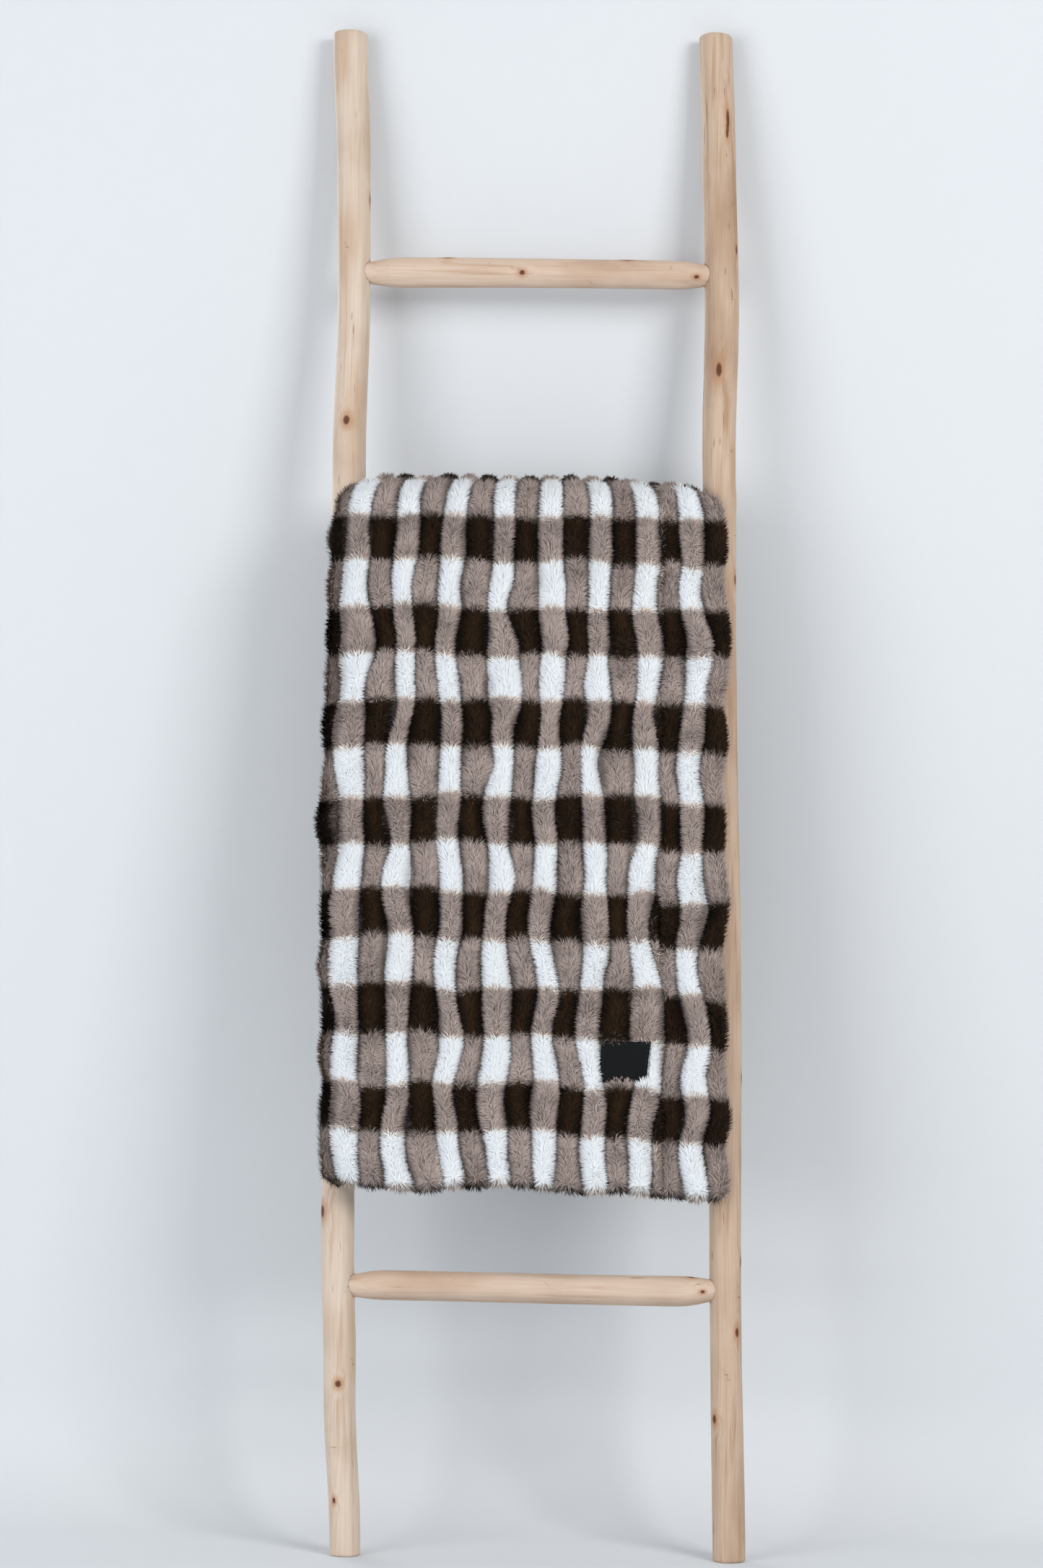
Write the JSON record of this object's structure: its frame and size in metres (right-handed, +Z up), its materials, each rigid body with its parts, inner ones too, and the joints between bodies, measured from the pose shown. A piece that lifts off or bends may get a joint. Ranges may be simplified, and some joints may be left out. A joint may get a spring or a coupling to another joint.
{
  "type": "blanket ladder with hanging throw",
  "caption": "Leaning rustic pole ladder with round rungs pegged into two peeled poles, and a plush checked throw folded in three and hung over a rung.",
  "frame": {"origin": "on the floor, under the middle of the object's box", "axes": "+Z up, -Y the front that faces the room, +Y the wall that the ladder leans on, +X to the right seen from the front"},
  "size_m": [0.5164, 0.32, 1.8104],
  "materials": {
    "pole_wood": "matt, peeled and sanded",
    "rung_wood": "matt, shaved",
    "peg_wood": "matt end grain",
    "faux_fur": "deep plush pile, white, taupe and dark brown check",
    "label_cloth": "plain woven label, no text",
    "label_thread": "sewing thread"
  },
  "bodies": {
    "ladder": {"left_rail": "pole_wood", "right_rail": "pole_wood", "rung_1": "rung_wood", "rung_2": "rung_wood", "rung_3": "rung_wood", "rung_4": "rung_wood", "rung_5": "rung_wood", "peg_1_left": "peg_wood", "peg_1_right": "peg_wood", "peg_2_left": "peg_wood", "peg_2_right": "peg_wood", "peg_3_left": "peg_wood", "peg_3_right": "peg_wood", "peg_4_left": "peg_wood", "peg_4_right": "peg_wood", "peg_5_left": "peg_wood", "peg_5_right": "peg_wood"},
    "throw": {"throw_saddle": "faux_fur"},
    "front_drop": {"throw_front_inner": "faux_fur", "throw_front_outer": "faux_fur", "label": "label_cloth", "label_stitching": "label_thread"},
    "back_drop": {"throw_back_drop": "faux_fur"}
  },
  "joints": [
    {"name": "throw_lift", "type": "slide", "parent": "ladder", "child": "throw", "axis": [0, 0, 1], "range_m": [0, 0.22]},
    {"name": "front_swing", "type": "hinge", "parent": "throw", "child": "front_drop", "pos_m": [0, 0.0044, 1.1969], "axis": [-1, 0, 0], "range_deg": [0, 75]},
    {"name": "back_swing", "type": "hinge", "parent": "throw", "child": "back_drop", "pos_m": [0, 0.0907, 1.1899], "axis": [1, 0, 0], "range_deg": [0, 4]}
  ]
}
